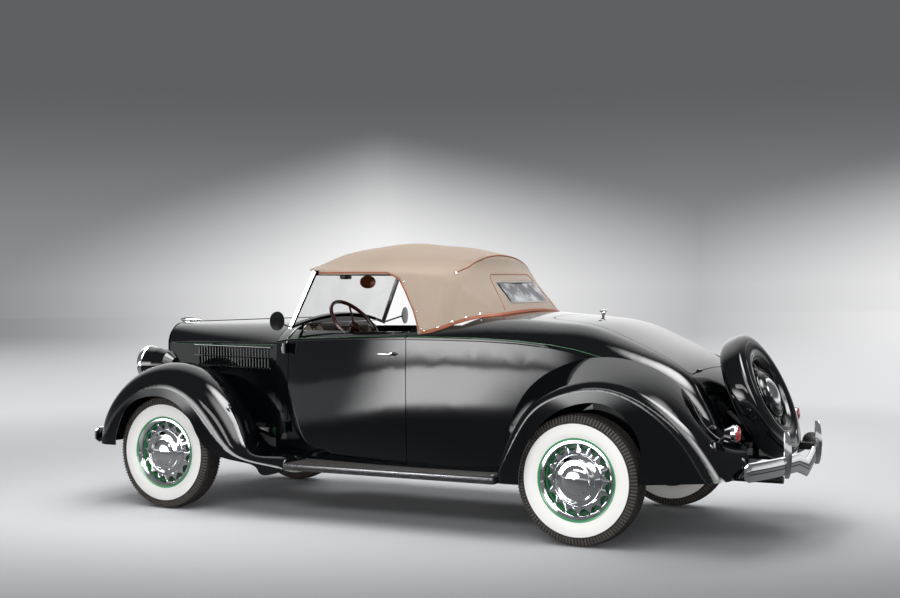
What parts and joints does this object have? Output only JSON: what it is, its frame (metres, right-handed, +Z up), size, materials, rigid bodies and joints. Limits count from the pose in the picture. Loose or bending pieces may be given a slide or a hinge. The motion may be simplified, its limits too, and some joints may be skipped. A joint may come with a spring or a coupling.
{
  "type": "roadster with rumble seat",
  "caption": "Two-seat open car with separate fenders, running boards, canvas top, rumble seat lid, butterfly hood, pressed-steel wheels and a rear-mounted spare.",
  "frame": {"origin": "on the ground under the middle of the car's bounding box", "axes": "+X to the car's left, +Y to its rear, +Z up"},
  "size_m": [1.7526, 4.608, 1.6646],
  "materials": {
    "body_paint": "gloss black enamel",
    "chrome": "polished chrome plate",
    "frame_paint": "satin black",
    "canvas": "tan canvas",
    "leather": "dark red-brown leather",
    "tyre": "rubber with white sidewalls",
    "wheel_metal": "pressed steel wheel",
    "glass": "clear glass",
    "rubber": "ribbed rubber",
    "cast": "painted casting",
    "carpet": "dark carpet over steel",
    "plastic": "dark red-brown plastic",
    "radiator_core": "dull brass core",
    "lens": "red lens in a chrome rim"
  },
  "bodies": {
    "root": {"body_floor": "carpet", "canvas_top": "canvas", "chassis_frame": "frame_paint", "cowl": "body_paint", "dashboard": "body_paint", "engine": "cast", "exhaust": "frame_paint", "front_axle": "frame_paint", "front_bumper": "chrome", "front_fenders": "body_paint", "fuel_tank": "frame_paint", "grille": "chrome", "grille_shell": "body_paint", "headlamps": "body_paint", "hood_hinge": "chrome", "hood_sides": "body_paint", "levers": "frame_paint", "radiator": "radiator_core", "rear_axle": "frame_paint", "rear_body": "body_paint", "rear_bumper": "chrome", "rear_fenders": "body_paint", "rumble_cushion": "leather", "running_boards": "rubber", "seat_back": "leather", "seat_box": "frame_paint", "seat_cushion": "leather", "side_mirrors": "chrome", "spare_carrier": "frame_paint", "spare_tyre": "tyre", "spare_wheel": "wheel_metal", "splash_aprons": "body_paint", "steering_column": "frame_paint", "taillights": "lens", "windshield_frame": "chrome", "windshield_glass": "glass"},
    "door_left": {"door_left": "body_paint"},
    "door_right": {"door_right": "body_paint"},
    "hood_left": {"hood_top_left": "body_paint"},
    "hood_right": {"hood_top_right": "body_paint"},
    "rumble_lid": {"rumble_lid": "body_paint", "rumble_back": "leather"},
    "steering_wheel": {"steering_wheel": "plastic"},
    "knuckle_left": {"knuckle_left": "frame_paint"},
    "knuckle_right": {"knuckle_right": "frame_paint"},
    "wheel_front_left": {"wheel_front_left": "wheel_metal", "tyre_front_left": "tyre"},
    "wheel_front_right": {"wheel_front_right": "wheel_metal", "tyre_front_right": "tyre"},
    "wheel_rear_left": {"wheel_rear_left": "wheel_metal", "tyre_rear_left": "tyre"},
    "wheel_rear_right": {"wheel_rear_right": "wheel_metal", "tyre_rear_right": "tyre"}
  },
  "joints": [
    {"name": "steering_left", "type": "hinge", "parent": "root", "child": "knuckle_left", "pos_m": [0.592, -1.6125, 0.356], "axis": [0, 0, 1], "range_deg": [-30, 30]},
    {"name": "steering_right", "type": "hinge", "parent": "root", "child": "knuckle_right", "pos_m": [-0.592, -1.6125, 0.356], "axis": [0, 0, 1], "range_deg": [-30, 30]},
    {"name": "steering_wheel_turn", "type": "hinge", "parent": "root", "child": "steering_wheel", "pos_m": [0.33, -0.452, 1.156], "axis": [0, 0.7593, 0.6508], "range_deg": [-480, 480]},
    {"name": "wheel_front_left_spin", "type": "hinge", "parent": "knuckle_left", "child": "wheel_front_left", "pos_m": [0.71, -1.6125, 0.356], "axis": [1, 0, 0], "continuous": true},
    {"name": "wheel_front_right_spin", "type": "hinge", "parent": "knuckle_right", "child": "wheel_front_right", "pos_m": [-0.71, -1.6125, 0.356], "axis": [1, 0, 0], "continuous": true},
    {"name": "wheel_rear_left_spin", "type": "hinge", "parent": "root", "child": "wheel_rear_left", "pos_m": [0.74, 1.2325, 0.356], "axis": [1, 0, 0], "continuous": true},
    {"name": "wheel_rear_right_spin", "type": "hinge", "parent": "root", "child": "wheel_rear_right", "pos_m": [-0.74, 1.2325, 0.356], "axis": [1, 0, 0], "continuous": true},
    {"name": "door_left_hinge", "type": "hinge", "parent": "root", "child": "door_left", "pos_m": [0.606, -0.7945, 0.75], "axis": [0, 0, -1], "range_deg": [0, 65]},
    {"name": "door_right_hinge", "type": "hinge", "parent": "root", "child": "door_right", "pos_m": [-0.606, -0.7945, 0.75], "axis": [0, 0, 1], "range_deg": [0, 65]},
    {"name": "hood_left_hinge", "type": "hinge", "parent": "root", "child": "hood_left", "pos_m": [0, -2.04, 1.16], "axis": [0, -0.9994, -0.0336], "range_deg": [0, 48]},
    {"name": "hood_right_hinge", "type": "hinge", "parent": "root", "child": "hood_right", "pos_m": [0, -2.04, 1.16], "axis": [0, 0.9994, 0.0336], "range_deg": [0, 48]},
    {"name": "rumble_lid_hinge", "type": "hinge", "parent": "root", "child": "rumble_lid", "pos_m": [0, 1.7245, 0.918], "axis": [-1, 0, 0], "range_deg": [0, 68]}
  ],
  "couplings": [
    {"joint": "steering_right", "follows": "steering_left", "ratio": 1},
    {"joint": "steering_wheel_turn", "follows": "steering_left", "ratio": 16}
  ]
}
